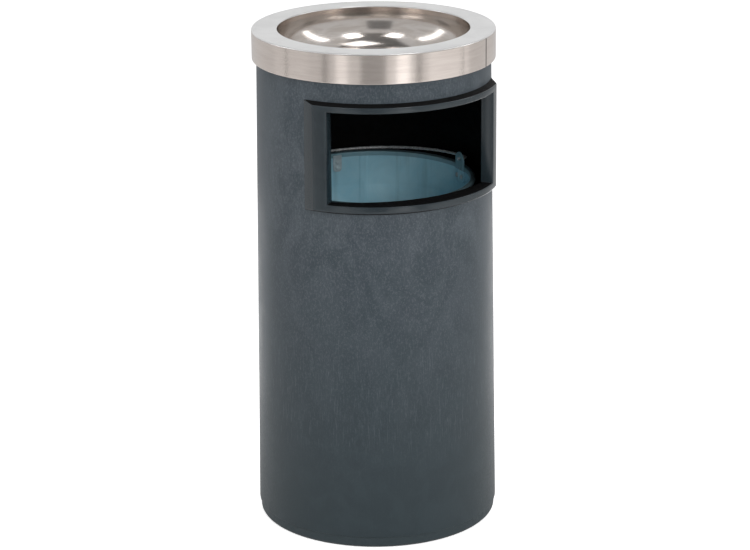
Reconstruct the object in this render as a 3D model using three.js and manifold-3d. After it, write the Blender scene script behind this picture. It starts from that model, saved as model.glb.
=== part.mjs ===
// Ashtray bin: a round moulded body with a framed insertion opening, a galvanised bucket
// with a wire bail inside it, and a lift-off steel head that carries the ash bowl.
//
// Millimetres, +Z up. The origin is the centre of the underside, and the opening faces -Y.
// Bearings are angles about +Z from -Y, positive towards +X.

import * as THREE from "three";
import { mergeVertices } from "three/addons/utils/BufferGeometryUtils.js";
import Module from "manifold-3d";

const wasm = await Module();
wasm.setup();

// ---------------------------------------------------------------- driving dimensions

const TOTAL_HEIGHT = 670;
const FACETS = 48; // sides of the large round pieces
const SMALL_FACETS = 12; // sides of screws, rivets and their holes
const GAP = 0.3; // clearance between pieces that touch
const FIT = 0.6; // clearance round a piece that is let into another

// Base plug: a foot rim under the shell, and a spigot that the shell slides over.
const FOOT_R = 160;
const FOOT_HEIGHT = 15;
const FOOT_CHAMFER = 4.6;
const SPIGOT_R = 156.4;
const SPIGOT_TOP = 23;

// Body shell: a tube with a little draft, wider at the foot.
const SHELL_BOTTOM_R = 162;
const SHELL_TOP_R = 153.6;
const SHELL_WALL = 4.7;
const SHELL_BOTTOM = FOOT_HEIGHT + GAP;
const SHELL_ROUND = 3;

// Head: a ring with a skirt, a turned-down lip at its mouth, a bowl and a locating collar.
const RING_R = 160;
const RING_SKIRT = 39;
const RING_SHEET = 1.2;
const RING_ROUND = 2.5;
const MOUTH_R = 126.3;
const LIP_DROP = 8;
const BOWL_SHEET = 1;
const BOWL_DEPTH = 57;
const BOWL_CORNER_R = 46;
const BOWL_FLANGE_R = 137;
const COLLAR_R = 147.4;
const COLLAR_DROP = 25;

// Opening frame: a raised flange round the window and a short throat through it.
const FRAME_R = 164.6;
const FRAME_FRONT_LOW = 463;
const FRAME_FRONT_HIGH = 601.5;
const FRAME_LEDGE_SLOPE = 3.5;
const FRAME_FLAT_BEARING = 52;
const FRAME_EDGE_BEARING = 59.2;
const FRAME_EDGE_R = 157.4;
const MOUTH_LOW = 472;
const MOUTH_HIGH = 594;
const MOUTH_HALF_WIDTH = 117.6; // where the throat meets the frame's face
const MOUTH_FACE_Y = -113.6;
const CHEEK_SLOPE = 1.087; // each cheek closes in this much for each millimetre of depth
const THROAT_WALL = 3;
const THROAT_BACK_R = 182.5;
const THROAT_BACK_CENTRE = 45.5; // the throat ends on an arc flatter than the shell

// Bucket: a straight wall with a rolled rim, a welded-in disc, ears and a rest for the bail.
const BUCKET_R = 127;
const BUCKET_SHEET = 1;
const BUCKET_BASE_SHEET = 1.4;
const BUCKET_BOTTOM = SPIGOT_TOP + GAP;
const RIM_CENTRE_R = 130.5;
const RIM_CENTRE_Z = 464.7;
const RIM_BEAD_R = 3.5;
const EAR_SHEET = 1.5;
const EAR_HALF_WIDTH = 13;
const EAR_ARC_Z = 472.2;
const EAR_LOW = 444;
const EAR_CORNER = 4;
const EAR_RIVET_Z = 452;
const EAR_RIVET_SPREAD = 7;
const REST_HALF_WIDTH = 6.5;
const REST_LOW = 441;
const REST_RIVETS_Z = [447, 455];
const REST_LEDGE_Z = RIM_CENTRE_Z - RIM_BEAD_R - FIT;
const REST_STANDOFF = 0.5; // how far the rest's leg stands off the wall

// Bail: one round wire that hooks through both ears and lies back on its rest.
const WIRE_R = 2;
const PIVOT_Z = 476;
const BAIL_R = 136.6;
const BAIL_REST_Z = 468.8;
const BAIL_STUB_X = 121.5;
const BAIL_BEND = 6;

// Fasteners.
const FRAME_SCREW_BEARING = 53.5;
const FRAME_SCREW_HEIGHTS = [484, 580];
const BASE_SCREW_BEARINGS = [45, 135, 225, 315];
const BASE_SCREW_R = 143;
const BASE_SCREW_SINK_R = 5.8; // the counterbore under the foot
const BASE_SCREW_SINK = 5;
const BASE_SCREW_CLEAR_R = 2.8;
const SCREW_PILOT_R = 2.5;
const FRAME_PILOT_R = 2.3;
const FRAME_PILOT_END = 160.4; // the pilot holes stop short of the frame's face
const BOSS_R = 6.5;
const BOSS_TOP = 45;
const BOSS_WEB = 8;
const BOSS_FLOOR = 3; // solid plastic left above the pilot hole
const RIVET_HOLE_R = 2;
const RIVET_SHANK_R = 1.7;
const RIVET_HEAD_R = 3.4;
const RIVET_CROWN_R = 2.2;
const RIVET_HEAD = 1.8;

// Profiles of the screws: [radius, distance along the screw].
const BASE_SCREW = [[0, 0.8], [4, 0.8], [5.3, 2], [5.3, 4.6], [2.2, 4.6], [2.2, 39], [0, 40.5]];
const FRAME_SCREW = [
  [0, 145.8],
  [3.4, 145.8],
  [4.5, 147],
  [4.5, 148.9],
  [2, 148.9],
  [2, 158.6],
  [0, 159.6],
];

const RING_TOP_UNDERSIDE = TOTAL_HEIGHT - RING_SHEET;
const SHELL_TOP = RING_TOP_UNDERSIDE - GAP;
const HEAD_FLANGE_TOP = RING_TOP_UNDERSIDE - GAP;
const HEAD_FLANGE_LOW = HEAD_FLANGE_TOP - RING_SHEET;
const BUCKET_OUTER_R = BUCKET_R + BUCKET_SHEET;
const EAR_OUTER_R = BUCKET_R - FIT;
const EAR_INNER_R = EAR_OUTER_R - EAR_SHEET;
const BUCKET_CUTTER = [EAR_INNER_R - 10, RIM_CENTRE_R + 10]; // radii that span the bucket's wall
const SHELL_CUTTER = [SHELL_TOP_R - 15, FRAME_R + 2]; // radii that span the shell's wall

// ---------------------------------------------------------------- materials

const finish = (color, roughness, metalness) =>
  new THREE.MeshStandardMaterial({ color, roughness, metalness });

const MATERIALS = {
  mottledPlastic: finish(0x4b5258, 0.6, 0),
  smoothPlastic: finish(0x3e4144, 0.35, 0),
  basePlastic: finish(0x33373a, 0.7, 0),
  polishedSteel: finish(0xb9a79c, 0.18, 1),
  bowlSteel: finish(0xc4c4c2, 0.2, 1),
  galvanised: finish(0x8fa3a8, 0.4, 1),
  zincSteel: finish(0xa9adb0, 0.35, 1),
  wireSteel: finish(0x9a9c9d, 0.3, 1),
};

// ---------------------------------------------------------------- solids and placing

const radians = THREE.MathUtils.degToRad;

/** The point at a radius and a bearing. */
function polar(radius, bearing) {
  const angle = radians(bearing);
  return new THREE.Vector2(radius * Math.sin(angle), -radius * Math.cos(angle));
}

/** A closed mesh as a solid that can be joined and cut. */
function solid(geometry) {
  const bare = geometry.clone();
  bare.deleteAttribute("normal");
  bare.deleteAttribute("uv");
  const merged = mergeVertices(bare, 1e-4);
  const corners = merged.index.array;
  const kept = [];
  for (let i = 0; i < corners.length; i += 3) {
    const [a, b, c] = corners.slice(i, i + 3);
    if (a !== b && b !== c && c !== a) kept.push(a, b, c);
  }
  return new wasm.Manifold(
    new wasm.Mesh({
      numProp: 3,
      vertProperties: new Float32Array(merged.attributes.position.array),
      triVerts: new Uint32Array(kept),
    }),
  );
}

/** A solid back as three.js geometry. */
function geometryOf(body) {
  const { vertProperties, triVerts } = body.getMesh();
  const geometry = new THREE.BufferGeometry();
  geometry.setAttribute("position", new THREE.BufferAttribute(vertProperties, 3));
  geometry.setIndex(new THREE.BufferAttribute(triVerts, 1));
  const flat = geometry.toNonIndexed();
  flat.computeVertexNormals();
  return flat;
}

/** A profile of [radius, height] points, counterclockwise, turned about +Z. */
function turned(profile, facets = FACETS) {
  const points = profile.map(([radius, height]) => new THREE.Vector2(radius, height));
  if (profile[0][0] > 0) points.push(points[0].clone());
  return new THREE.LatheGeometry(points, facets).rotateX(Math.PI / 2);
}

/** A plan outline standing from one height to another. */
function upright(shape, low, high) {
  const options = { depth: high - low, bevelEnabled: false, curveSegments: 24 };
  return new THREE.ExtrudeGeometry(shape, options).translate(0, 0, low);
}

/** An outline drawn as (y, z), seen from +X, run along X from one place to another. */
function sideways(shape, from, to) {
  const options = { depth: to - from, bevelEnabled: false, curveSegments: 12 };
  const geometry = new THREE.ExtrudeGeometry(shape, options);
  return geometry.rotateZ(Math.PI / 2).rotateY(Math.PI / 2).translate(from, 0, 0);
}

/** Points on an arc of a profile, from one angle to another, in degrees from outwards. */
function arc(centreR, centreZ, radius, from, to, steps) {
  const points = [];
  for (let i = 0; i <= steps; i += 1) {
    const angle = radians(from + ((to - from) * i) / steps);
    points.push([centreR + radius * Math.cos(angle), centreZ + radius * Math.sin(angle)]);
  }
  return points;
}

/** A turned profile whose axis, +Z at first, is laid outwards at a bearing and a height. */
function pointOutwards(geometry, bearing, height) {
  const [x, y] = polar(1, bearing);
  const outwards = new THREE.Vector3(x, y, 0);
  const turn = new THREE.Quaternion().setFromUnitVectors(new THREE.Vector3(0, 0, 1), outwards);
  return geometry.applyQuaternion(turn).translate(0, 0, height);
}

/** A plain radial pin or hole from one radius to another. */
function radialPin(radius, from, to, bearing, height) {
  const profile = [[0, from], [radius, from], [radius, to], [0, to]];
  return pointOutwards(turned(profile, SMALL_FACETS), bearing, height);
}

/** A plain vertical pin or hole at a radius and a bearing. */
function verticalPin(radius, low, high, fromAxis, bearing) {
  const profile = [[0, low], [radius, low], [radius, high], [0, high]];
  const [x, y] = polar(fromAxis, bearing);
  return turned(profile, SMALL_FACETS).translate(x, y, 0);
}

const group = new THREE.Group();

/** Adds a piece to the bin and returns its mesh. */
function place(name, geometry, material) {
  const mesh = new THREE.Mesh(geometry, material);
  mesh.name = name;
  group.add(mesh);
  return mesh;
}

/** The shell's outer radius at a height. */
function shellRadius(height) {
  const share = (height - SHELL_BOTTOM) / (SHELL_TOP - SHELL_BOTTOM);
  return THREE.MathUtils.lerp(SHELL_BOTTOM_R, SHELL_TOP_R, share);
}

/** The throat's plan: two cheeks closing in, made wider all round by a margin. */
function throatPlan(margin) {
  const halfWidth = (y) => {
    const clear = margin * Math.hypot(1, CHEEK_SLOPE);
    return MOUTH_HALF_WIDTH - CHEEK_SLOPE * (y - MOUTH_FACE_Y) + clear;
  };
  const front = -FRAME_R - 16;
  const back = front / 3;
  return new THREE.Shape([
    new THREE.Vector2(-halfWidth(front), front),
    new THREE.Vector2(halfWidth(front), front),
    new THREE.Vector2(halfWidth(back), back),
    new THREE.Vector2(-halfWidth(back), back),
  ]);
}

// ---------------------------------------------------------------- base and shell

function makeBasePlug() {
  let plug = solid(
    turned([
      [0, 0],
      [FOOT_R - FOOT_CHAMFER, 0],
      [FOOT_R, FOOT_CHAMFER],
      [FOOT_R, FOOT_HEIGHT],
      [SPIGOT_R, FOOT_HEIGHT],
      [SPIGOT_R, SPIGOT_TOP],
      [0, SPIGOT_TOP],
    ]),
  );
  for (const bearing of BASE_SCREW_BEARINGS) {
    const sink = verticalPin(BASE_SCREW_SINK_R, -1, BASE_SCREW_SINK, BASE_SCREW_R, bearing);
    const clear = verticalPin(BASE_SCREW_CLEAR_R, 0, SPIGOT_TOP + 1, BASE_SCREW_R, bearing);
    plug = plug.subtract(solid(sink)).subtract(solid(clear));
  }
  place("base_plug", geometryOf(plug), MATERIALS.basePlastic);
}

/** A screw boss with a web that ties it to the shell's wall. */
function screwBoss(bearing) {
  const low = SPIGOT_TOP + GAP;
  const reach = SHELL_BOTTOM_R - SHELL_WALL / 2 - BASE_SCREW_R;
  const web = new THREE.BoxGeometry(BOSS_WEB, reach, BOSS_TOP - low);
  web.translate(0, -(BASE_SCREW_R + reach / 2), (BOSS_TOP + low) / 2);
  web.rotateZ(radians(bearing));
  return solid(verticalPin(BOSS_R, low, BOSS_TOP, BASE_SCREW_R, bearing)).add(solid(web));
}

function makeBodyShell() {
  let shell = solid(
    turned([
      [SHELL_BOTTOM_R - SHELL_WALL, SHELL_BOTTOM],
      [SHELL_BOTTOM_R - SHELL_ROUND, SHELL_BOTTOM],
      [SHELL_BOTTOM_R, SHELL_BOTTOM + SHELL_ROUND],
      [SHELL_TOP_R, SHELL_TOP],
      [SHELL_TOP_R - SHELL_WALL, SHELL_TOP],
    ]),
  );
  const window = upright(
    throatPlan(THROAT_WALL + FIT),
    MOUTH_LOW - THROAT_WALL - FIT,
    MOUTH_HIGH + THROAT_WALL + FIT,
  );
  shell = shell.subtract(solid(window));
  for (const bearing of [-FRAME_SCREW_BEARING, FRAME_SCREW_BEARING]) {
    for (const height of FRAME_SCREW_HEIGHTS) {
      shell = shell.subtract(solid(radialPin(SCREW_PILOT_R, ...SHELL_CUTTER, bearing, height)));
    }
  }
  for (const bearing of BASE_SCREW_BEARINGS) {
    shell = shell.add(screwBoss(bearing));
    const depth = BOSS_TOP - BOSS_FLOOR;
    const pilot = verticalPin(SCREW_PILOT_R, SPIGOT_TOP, depth, BASE_SCREW_R, bearing);
    shell = shell.subtract(solid(pilot));
  }
  place("body_shell", geometryOf(shell), MATERIALS.mottledPlastic);
}

function makeBaseScrews() {
  BASE_SCREW_BEARINGS.forEach((bearing, i) => {
    const geometry = turned(BASE_SCREW, SMALL_FACETS);
    const screw = place(`base_screw_${i + 1}`, geometry, MATERIALS.zincSteel);
    const [x, y] = polar(BASE_SCREW_R, bearing);
    screw.position.set(x, y, 0);
  });
}

// ---------------------------------------------------------------- opening frame

/** The flange in plan: full thickness in front, running out to a thin edge at each side. */
function flangePlan() {
  const inside = FRAME_R - 30;
  const beyond = FRAME_R + 2;
  const steps = 16;
  const points = [];
  for (let i = 0; i <= steps; i += 1) {
    points.push(polar(beyond, FRAME_FLAT_BEARING * ((2 * i) / steps - 1)));
  }
  points.push(polar(FRAME_R, FRAME_FLAT_BEARING));
  points.push(polar(FRAME_EDGE_R, FRAME_EDGE_BEARING));
  for (let i = 0; i <= steps; i += 1) {
    points.push(polar(inside, FRAME_EDGE_BEARING * (1 - (2 * i) / steps)));
  }
  points.push(polar(FRAME_EDGE_R, -FRAME_EDGE_BEARING));
  points.push(polar(FRAME_R, -FRAME_FLAT_BEARING));
  return new THREE.Shape(points);
}

function makeOpeningFrame() {
  const rootLow = FRAME_FRONT_LOW - FRAME_LEDGE_SLOPE;
  const rootHigh = FRAME_FRONT_HIGH + FRAME_LEDGE_SLOPE;
  const flange = solid(
    turned([
      [shellRadius(rootLow) + FIT, rootLow],
      [FRAME_R, FRAME_FRONT_LOW],
      [FRAME_R, FRAME_FRONT_HIGH],
      [shellRadius(rootHigh) + FIT, rootHigh],
    ]),
  ).intersect(solid(upright(flangePlan(), rootLow - 1, rootHigh + 1)));

  const low = MOUTH_LOW - THROAT_WALL;
  const high = MOUTH_HIGH + THROAT_WALL;
  const front = FRAME_R - 2;
  const frontDisc = turned([[0, low], [front, low], [front, high], [0, high]]);
  const backDisc = turned([
    [0, low - 1],
    [THROAT_BACK_R, low - 1],
    [THROAT_BACK_R, high + 1],
    [0, high + 1],
  ]).translate(0, THROAT_BACK_CENTRE, 0);
  // The sleeve starts inside the flange and ends on the back disc's edge.
  const sleeve = solid(upright(throatPlan(THROAT_WALL), low, high))
    .intersect(solid(frontDisc))
    .subtract(solid(backDisc));

  let frame = flange.add(sleeve);
  frame = frame.subtract(solid(upright(throatPlan(0), MOUTH_LOW, MOUTH_HIGH)));
  for (const bearing of [-FRAME_SCREW_BEARING, FRAME_SCREW_BEARING]) {
    for (const height of FRAME_SCREW_HEIGHTS) {
      const pilot = radialPin(FRAME_PILOT_R, SHELL_CUTTER[0], FRAME_PILOT_END, bearing, height);
      frame = frame.subtract(solid(pilot));
    }
  }
  place("opening_frame", geometryOf(frame), MATERIALS.smoothPlastic);
}

function makeFrameScrews() {
  let number = 0;
  for (const bearing of [-FRAME_SCREW_BEARING, FRAME_SCREW_BEARING]) {
    for (const height of FRAME_SCREW_HEIGHTS) {
      number += 1;
      const geometry = pointOutwards(turned(FRAME_SCREW, SMALL_FACETS), bearing, height);
      place(`frame_screw_${number}`, geometry, MATERIALS.zincSteel);
    }
  }
}

// ---------------------------------------------------------------- head

function makeTopRing() {
  const skirtLow = TOTAL_HEIGHT - RING_SKIRT;
  const innerRound = RING_ROUND - RING_SHEET;
  const cornerZ = TOTAL_HEIGHT - RING_ROUND;
  const profile = [
    [RING_R - RING_SHEET, skirtLow],
    [RING_R, skirtLow],
    ...arc(RING_R - RING_ROUND, cornerZ, RING_ROUND, 0, 90, 3),
    ...arc(MOUTH_R + RING_ROUND, cornerZ, RING_ROUND, 90, 180, 3),
    [MOUTH_R, TOTAL_HEIGHT - LIP_DROP],
    [MOUTH_R + RING_SHEET, TOTAL_HEIGHT - LIP_DROP],
    ...arc(MOUTH_R + RING_ROUND, cornerZ, innerRound, 180, 90, 2),
    ...arc(RING_R - RING_ROUND, cornerZ, innerRound, 90, 0, 2),
  ];
  place("top_ring", turned(profile), MATERIALS.polishedSteel);
}

function makeAshBowl() {
  const innerR = MOUTH_R + RING_SHEET + FIT + GAP;
  const floor = TOTAL_HEIGHT - BOWL_DEPTH;
  const centreR = innerR - BOWL_CORNER_R;
  const centreZ = floor + BOWL_CORNER_R;
  const profile = [
    [0, floor - BOWL_SHEET],
    ...arc(centreR, centreZ, BOWL_CORNER_R + BOWL_SHEET, -90, 0, 7),
    [innerR + BOWL_SHEET, HEAD_FLANGE_LOW],
    [BOWL_FLANGE_R, HEAD_FLANGE_LOW],
    [BOWL_FLANGE_R, HEAD_FLANGE_TOP],
    [innerR, HEAD_FLANGE_TOP],
    ...arc(centreR, centreZ, BOWL_CORNER_R, 0, -90, 7),
    [0, floor],
  ];
  place("ash_bowl", turned(profile), MATERIALS.bowlSteel);
}

function makeHeadCollar() {
  const low = HEAD_FLANGE_TOP - COLLAR_DROP;
  const profile = [
    [COLLAR_R - RING_SHEET, low],
    [COLLAR_R, low],
    [COLLAR_R, HEAD_FLANGE_TOP],
    [BOWL_FLANGE_R + FIT, HEAD_FLANGE_TOP],
    [BOWL_FLANGE_R + FIT, HEAD_FLANGE_LOW],
    [COLLAR_R - RING_SHEET, HEAD_FLANGE_LOW],
  ];
  place("head_collar", turned(profile), MATERIALS.zincSteel);
}

// ---------------------------------------------------------------- bucket

/** Rivet positions as [bearing, height, node name]. */
function rivetPlaces() {
  const step = THREE.MathUtils.radToDeg(EAR_RIVET_SPREAD / BUCKET_R);
  return [
    [90 - step, EAR_RIVET_Z, "ear_rivet_right_front"],
    [90 + step, EAR_RIVET_Z, "ear_rivet_right_rear"],
    [270 + step, EAR_RIVET_Z, "ear_rivet_left_front"],
    [270 - step, EAR_RIVET_Z, "ear_rivet_left_rear"],
    [180, REST_RIVETS_Z[0], "rest_rivet_lower"],
    [180, REST_RIVETS_Z[1], "rest_rivet_upper"],
  ];
}

/** Drills a piece of the bucket for the rivets. */
function drilled(body) {
  let result = body;
  for (const [bearing, height] of rivetPlaces()) {
    result = result.subtract(solid(radialPin(RIVET_HOLE_R, ...BUCKET_CUTTER, bearing, height)));
  }
  return result;
}

function makeBucketWall() {
  const profile = [
    [BUCKET_R, BUCKET_BOTTOM],
    [BUCKET_OUTER_R, BUCKET_BOTTOM],
    ...arc(RIM_CENTRE_R, RIM_CENTRE_Z, RIM_BEAD_R, -135, 180, 9),
  ];
  place("bucket_wall", geometryOf(drilled(solid(turned(profile)))), MATERIALS.galvanised);
}

function makeBucketBase() {
  const low = BUCKET_BOTTOM + GAP;
  const high = low + BUCKET_BASE_SHEET;
  const radius = BUCKET_R - GAP;
  const profile = [[0, low], [radius, low], [radius, high], [0, high]];
  place("bucket_base", turned(profile), MATERIALS.galvanised);
}

/** A thin hoop just inside the bucket's wall, from which the riveted plates are cut. */
function innerHoop(low, high) {
  return solid(
    turned([[EAR_INNER_R, low], [EAR_OUTER_R, low], [EAR_OUTER_R, high], [EAR_INNER_R, high]]),
  );
}

/** A half-round lug on a riveted plate, drilled for the bail. */
function makeEar(name, side) {
  const outline = new THREE.Shape();
  outline.moveTo(-EAR_HALF_WIDTH, EAR_LOW + EAR_CORNER);
  outline.lineTo(-EAR_HALF_WIDTH + EAR_CORNER, EAR_LOW);
  outline.lineTo(EAR_HALF_WIDTH - EAR_CORNER, EAR_LOW);
  outline.lineTo(EAR_HALF_WIDTH, EAR_LOW + EAR_CORNER);
  outline.lineTo(EAR_HALF_WIDTH, EAR_ARC_Z);
  outline.absarc(0, EAR_ARC_Z, EAR_HALF_WIDTH, 0, Math.PI, false);
  const [near, far] = side > 0 ? BUCKET_CUTTER : [-BUCKET_CUTTER[1], -BUCKET_CUTTER[0]];
  const plate = innerHoop(EAR_LOW - 1, EAR_ARC_Z + EAR_HALF_WIDTH + 1)
    .intersect(solid(sideways(outline, near, far)));
  const hole = radialPin(WIRE_R + FIT, ...BUCKET_CUTTER, 90 * side, PIVOT_Z);
  place(name, geometryOf(drilled(plate).subtract(solid(hole))), MATERIALS.galvanised);
}

/** The plate inside the rear wall that backs the bail's rest. */
function makeRestPlate() {
  const outline = new THREE.Shape([
    new THREE.Vector2(-REST_HALF_WIDTH, REST_LOW + EAR_CORNER),
    new THREE.Vector2(-REST_HALF_WIDTH / 2, REST_LOW),
    new THREE.Vector2(REST_HALF_WIDTH / 2, REST_LOW),
    new THREE.Vector2(REST_HALF_WIDTH, REST_LOW + EAR_CORNER),
    new THREE.Vector2(REST_HALF_WIDTH, RIM_CENTRE_Z),
    new THREE.Vector2(-REST_HALF_WIDTH, RIM_CENTRE_Z),
  ]);
  const prism = sideways(outline, ...BUCKET_CUTTER).rotateZ(Math.PI / 2);
  const plate = innerHoop(REST_LOW - 1, RIM_CENTRE_Z + 1).intersect(solid(prism));
  place("rest_plate", geometryOf(drilled(plate)), MATERIALS.galvanised);
}

/** A bent strip outside the rear wall: leg, ledge and an upstand that carries the wire. */
function makeBailRest() {
  const legY = BUCKET_OUTER_R + REST_STANDOFF;
  const upstandY = BAIL_R - EAR_SHEET / 2;
  const top = BAIL_REST_Z - WIRE_R - GAP;
  const outline = new THREE.Shape([
    new THREE.Vector2(legY, REST_LOW),
    new THREE.Vector2(legY + EAR_SHEET, REST_LOW),
    new THREE.Vector2(legY + EAR_SHEET, REST_LEDGE_Z - EAR_SHEET),
    new THREE.Vector2(upstandY + EAR_SHEET, REST_LEDGE_Z - EAR_SHEET),
    new THREE.Vector2(upstandY + EAR_SHEET, top),
    new THREE.Vector2(upstandY, top),
    new THREE.Vector2(upstandY, REST_LEDGE_Z),
    new THREE.Vector2(legY, REST_LEDGE_Z),
  ]);
  const strip = solid(sideways(outline, -REST_HALF_WIDTH, REST_HALF_WIDTH));
  place("bail_rest", geometryOf(drilled(strip)), MATERIALS.galvanised);
}

/** Rivets: a head inside the plate, a shank and a head outside. */
function makeRivets() {
  for (const [bearing, height, name] of rivetPlaces()) {
    const rest = bearing === 180 ? REST_STANDOFF + EAR_SHEET : 0;
    const inner = EAR_INNER_R - GAP;
    const outer = BUCKET_OUTER_R + rest + GAP;
    const profile = [
      [0, inner - RIVET_HEAD],
      [RIVET_CROWN_R, inner - RIVET_HEAD],
      [RIVET_HEAD_R, inner],
      [RIVET_SHANK_R, inner],
      [RIVET_SHANK_R, outer],
      [RIVET_HEAD_R, outer],
      [RIVET_CROWN_R, outer + RIVET_HEAD],
      [0, outer + RIVET_HEAD],
    ];
    const geometry = pointOutwards(turned(profile, SMALL_FACETS), bearing, height);
    place(name, geometry, MATERIALS.zincSteel);
  }
}

// ---------------------------------------------------------------- bail

/** The wire's route in its own plane, from one ear round the back to the other. */
function bailRoute() {
  const side = [
    new THREE.Vector3(BAIL_STUB_X, 0, 0),
    new THREE.Vector3((BAIL_STUB_X + BAIL_R - BAIL_BEND) / 2, 0, 0),
    new THREE.Vector3(BAIL_R - BAIL_BEND, 0, 0),
    new THREE.Vector3(BAIL_R - BAIL_BEND * 0.3, BAIL_BEND * 0.3, 0),
  ];
  const points = [...side];
  for (let angle = 4; angle <= 176; angle += 4) {
    const turn = radians(angle);
    points.push(new THREE.Vector3(BAIL_R * Math.cos(turn), BAIL_R * Math.sin(turn), 0));
  }
  for (const point of side.reverse()) {
    points.push(new THREE.Vector3(-point.x, point.y, 0));
  }
  return new THREE.CatmullRomCurve3(points, false, "centripetal");
}

function makeBail() {
  const section = new THREE.Shape();
  section.absarc(0, 0, WIRE_R, 0, 2 * Math.PI, false);
  const options = { steps: 84, extrudePath: bailRoute(), curveSegments: 4, bevelEnabled: false };
  const bail = place("bail_wire", new THREE.ExtrudeGeometry(section, options), MATERIALS.wireSteel);
  bail.position.z = PIVOT_Z;
  bail.rotation.x = -Math.asin((PIVOT_Z - BAIL_REST_Z) / BAIL_R);
}

// ---------------------------------------------------------------- assembly

makeBasePlug();
makeBodyShell();
makeBaseScrews();
makeOpeningFrame();
makeFrameScrews();
makeTopRing();
makeAshBowl();
makeHeadCollar();
makeBucketWall();
makeBucketBase();
makeEar("bucket_ear_right", 1);
makeEar("bucket_ear_left", -1);
makeRestPlate();
makeBailRest();
makeRivets();
makeBail();

export default group;
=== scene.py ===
import math

import bmesh
import bpy
import numpy as np
from mathutils import Matrix, Vector


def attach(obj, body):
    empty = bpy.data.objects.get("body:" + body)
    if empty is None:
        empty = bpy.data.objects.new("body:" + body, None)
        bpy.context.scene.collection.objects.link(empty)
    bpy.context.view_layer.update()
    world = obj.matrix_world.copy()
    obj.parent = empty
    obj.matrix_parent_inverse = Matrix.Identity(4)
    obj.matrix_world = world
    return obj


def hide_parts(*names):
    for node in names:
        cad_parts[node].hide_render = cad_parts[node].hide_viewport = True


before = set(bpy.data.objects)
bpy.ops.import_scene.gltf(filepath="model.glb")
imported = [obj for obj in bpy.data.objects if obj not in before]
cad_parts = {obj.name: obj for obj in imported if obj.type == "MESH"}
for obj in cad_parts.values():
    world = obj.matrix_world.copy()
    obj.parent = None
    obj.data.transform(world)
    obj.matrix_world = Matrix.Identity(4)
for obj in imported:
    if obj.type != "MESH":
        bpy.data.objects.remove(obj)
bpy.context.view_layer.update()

MM = 0.001
SHARP_DEGREES = 35

# ---- Driving sizes, millimetres

TOTAL_HEIGHT = 670

SHELL_BOTTOM_R = 162
SHELL_TOP_R = 153.6
SHELL_WALL = 4.7
SHELL_LOW = 15.3
SHELL_HIGH = 668.5

FOOT_R = 160
FOOT_HEIGHT = 15
FOOT_ROUND = 5
SPIGOT_R = 156.4
SPIGOT_TOP = 23

RING_R = 160
RING_SKIRT_LOW = 631
RING_SHEET = 1.2
RING_SEAM_BEARING = 40.5
MOUTH_R = 126.3
LIP_LOW = 662
BOWL_R = 128.4
BOWL_FLOOR = 613
BOWL_CORNER_R = 46
BOWL_FLANGE_R = 137
HEAD_FLANGE_TOP = 668.5
HEAD_FLANGE_LOW = 667.3
COLLAR_R = 147.4
COLLAR_LOW = 643.5

FRAME_R = 164.6
THROAT_BACK_R = 182.5
THROAT_BACK_CENTRE = 45.5
WINDOW_BEARING = 47.4
WINDOW_LOW = 467.9
WINDOW_HIGH = 598.1

BUCKET_R = 127
BUCKET_LOW = 23.3
RIM_CENTRE_R = 130.5
RIM_CENTRE_Z = 464.7
RIM_BEAD_R = 3.5
SIDE_SEAM_BEARING = 163
EAR_FACE = 125.5
EAR_SHEET = 1.4
WIRE_R = 2
PIVOT_Z = 476
BAIL_R = 136.6
BAIL_REST_Z = 468.8
BAIL_STUB_X = 121.8
BAIL_BEND = 6

FOOT_SCREW_R = 143
FOOT_SCREW_BEARINGS = (45, 135, 225, 315)
REST_RIVET_HEIGHTS = (447, 455)
EAR_RIVET_OUT = 7
EAR_RIVET_Z = 452
EAR_ARC_Z = 472.2
EAR_R = 13
REST_LOW = 441.2
REST_SHEET = 1.5

ROUND_STEPS = 256
EVEN_BEARINGS = [360 * k / ROUND_STEPS for k in range(ROUND_STEPS)]


# ---- Colours and points

def linear(red, green, blue, alpha=1.0):
    """A display colour, 0 to 255, as the linear colour a shader takes."""
    def one(value):
        share = value / 255
        return share / 12.92 if share <= 0.04045 else ((share + 0.055) / 1.055) ** 2.4
    return (one(red), one(green), one(blue), alpha)


def polar(radius, bearing, height):
    """A point in metres, from millimetres and a bearing in degrees from -Y towards +X."""
    angle = math.radians(bearing)
    return (radius * math.sin(angle) * MM, -radius * math.cos(angle) * MM, height * MM)


def outward(bearing):
    """The level unit vector that points away from the axis at a bearing."""
    return Vector(polar(1000, bearing, 0)).normalized()


def shell_radius(height):
    share = (height - SHELL_LOW) / (SHELL_HIGH - SHELL_LOW)
    return SHELL_BOTTOM_R + (SHELL_TOP_R - SHELL_BOTTOM_R) * share


def arc_points(centre_x, centre_y, radius, start, end, steps):
    angles = [math.radians(start + (end - start) * k / steps) for k in range(steps + 1)]
    return [(centre_x + radius * math.cos(a), centre_y + radius * math.sin(a)) for a in angles]


# ---- Meshes

def add_object(name, data):
    thing = bpy.data.objects.new(name, data)
    bpy.context.scene.collection.objects.link(thing)
    return thing


def new_mesh(name, points, edges=(), faces=()):
    mesh = bpy.data.meshes.new(name)
    mesh.from_pydata([tuple(p) for p in points], edges, faces)
    return mesh


def smooth(mesh):
    mesh.shade_smooth()
    mesh.set_sharp_from_angle(angle=math.radians(SHARP_DEGREES))


def make_piece(name, points, faces):
    """A mesh object at the origin, smooth except along its sharp edges."""
    mesh = new_mesh(name, points, faces=faces)
    mesh.validate()
    mesh.update()
    smooth(mesh)
    return add_object(name, mesh)


def weld(piece, distance=0.01):
    """Merges doubled points and turns every face outwards."""
    work = bmesh.new()
    work.from_mesh(piece.data)
    bmesh.ops.remove_doubles(work, verts=work.verts, dist=distance * MM)
    bmesh.ops.recalc_face_normals(work, faces=work.faces)
    work.to_mesh(piece.data)
    work.free()
    smooth(piece.data)


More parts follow.
